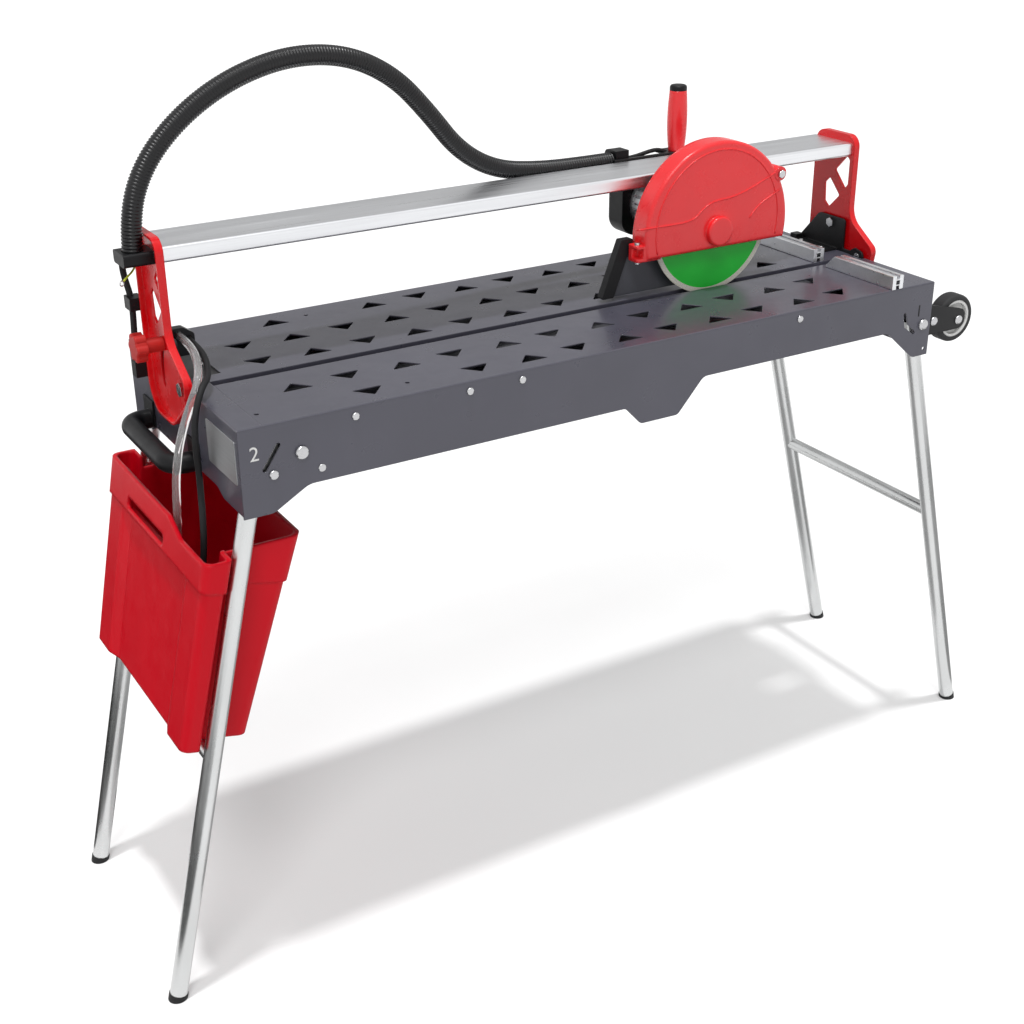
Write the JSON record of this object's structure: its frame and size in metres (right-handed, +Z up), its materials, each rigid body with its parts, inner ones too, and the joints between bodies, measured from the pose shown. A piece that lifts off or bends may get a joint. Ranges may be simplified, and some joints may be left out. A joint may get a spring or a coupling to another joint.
{
  "type": "bridge wet tile saw",
  "caption": "Wet tile saw with a perforated steel table on folding tube legs, a red tilting bridge with a sliding guarded blade and motor, a water bucket and transport wheels.",
  "frame": {"origin": "on the floor, in the middle of the object's box seen from above", "axes": "+X along the table to the wheel end, +Y to the rear, +Z up"},
  "size_m": [1.4066, 0.386, 1.1374],
  "materials": {
    "table_paint": "satin",
    "tray_steel": "satin",
    "black_paint": "satin",
    "fastener_steel": "satin",
    "black_plastic": "matte",
    "bare_plate": "satin",
    "aluminium": "satin",
    "red_paint": "gloss",
    "red_plastic": "gloss",
    "polymer": "matte",
    "motor_metal": "satin",
    "grey_paint": "satin",
    "black_rubber": "matte",
    "clear_hose": "clear",
    "blade_green": "satin",
    "blade_rim": "matte",
    "zinc_tube": "satin",
    "tyre_rubber": "matte",
    "white_plastic": "satin",
    "bucket_plastic": "satin"
  },
  "bodies": {
    "table": {"deck_front": "table_paint", "deck_rear": "table_paint", "deck_ends": "table_paint", "front_skirt": "table_paint", "rear_skirt": "table_paint", "end_plates": "table_paint", "drain_tray": "tray_steel", "left_tilt_bracket": "black_paint", "right_tilt_bracket": "black_paint", "tilt_bolts": "fastener_steel", "table_screws": "fastener_steel", "leg_bolts": "fastener_steel", "carry_handle": "black_plastic", "rating_plate": "bare_plate", "fence_rails": "aluminium", "wheel_brackets": "black_paint", "wheel_axles": "fastener_steel", "water_hose": "clear_hose", "pump_cable": "black_rubber"},
    "bridge": {"beam": "aluminium", "left_support": "red_paint", "right_support": "red_paint", "beam_bolts": "fastener_steel", "cable_clamps": "black_plastic", "conduit": "black_plastic", "support_cable": "black_rubber"},
    "carriage": {"carriage_frame": "black_paint", "glide_shoes": "polymer", "motor_flange": "motor_metal", "motor_housing": "motor_metal", "motor_cap": "black_plastic", "bearings": "fastener_steel", "guard_cover": "red_plastic", "guard_back": "red_plastic", "guard_screws": "fastener_steel", "splash_plate": "grey_paint", "splash_seal": "black_rubber", "grip": "red_plastic", "grip_cap": "black_plastic", "conduit_clip": "black_plastic"},
    "blade": {"spindle": "fastener_steel", "blade_core": "blade_green", "blade_rim": "blade_rim", "blade_clamp": "fastener_steel"},
    "power_switch": {"power_switch": "black_plastic"},
    "tilt_knob": {"tilt_knob": "red_plastic"},
    "left_legs": {"left_leg_front": "zinc_tube", "left_leg_rear": "zinc_tube", "left_cross_tube": "zinc_tube", "left_feet": "black_rubber"},
    "right_legs": {"right_leg_front": "zinc_tube", "right_leg_rear": "zinc_tube", "right_cross_tube": "zinc_tube", "right_feet": "black_rubber"},
    "front_wheel": {"front_tyre": "tyre_rubber", "front_hub": "white_plastic"},
    "rear_wheel": {"rear_tyre": "tyre_rubber", "rear_hub": "white_plastic"},
    "bucket": {"bucket": "bucket_plastic", "pump": "black_plastic"}
  },
  "joints": [
    {"name": "bridge_tilt", "type": "hinge", "parent": "table", "child": "bridge", "pos_m": [0, -0.03, 0.77], "axis": [1, 0, 0], "range_deg": [0, 45]},
    {"name": "carriage_slide", "type": "slide", "parent": "bridge", "child": "carriage", "axis": [1, 0, 0], "range_m": [-0.565, 0.12], "deforming": ["conduit"]},
    {"name": "blade_spin", "type": "hinge", "parent": "carriage", "child": "blade", "pos_m": [0.23275, -0.03, 0.862], "axis": [0, 1, 0], "continuous": true},
    {"name": "switch_rock", "type": "hinge", "parent": "carriage", "child": "power_switch", "pos_m": [0.25075, 0.15, 0.878], "axis": [-1, 0, 0], "range_deg": [0, 10]},
    {"name": "tilt_knob_turn", "type": "hinge", "parent": "table", "child": "tilt_knob", "pos_m": [-0.57425, 0.031, 0.81], "axis": [-1, 0, 0], "range_deg": [0, 270]},
    {"name": "left_leg_fold", "type": "hinge", "parent": "table", "child": "left_legs", "pos_m": [-0.47325, 0, 0.728], "axis": [0, -1, 0], "range_deg": [0, 103.2], "deforming": ["water_hose", "pump_cable"]},
    {"name": "right_leg_fold", "type": "hinge", "parent": "table", "child": "right_legs", "pos_m": [0.50525, 0, 0.708], "axis": [0, 1, 0], "range_deg": [0, 104.9]},
    {"name": "bucket_take_off", "type": "slide", "parent": "table", "child": "bucket", "axis": [-0.9736, 0, 0.2284], "range_m": [0, 0.3], "deforming": ["water_hose", "pump_cable"]},
    {"name": "front_wheel_spin", "type": "hinge", "parent": "table", "child": "front_wheel", "pos_m": [0.59025, -0.16, 0.6975], "axis": [0, 1, 0], "continuous": true},
    {"name": "rear_wheel_spin", "type": "hinge", "parent": "table", "child": "rear_wheel", "pos_m": [0.59025, 0.16, 0.6975], "axis": [0, 1, 0], "continuous": true}
  ],
  "couplings": [
    {"joint": "bucket_take_off", "follows": "left_leg_fold", "m_per_rad": 0.16656}
  ]
}
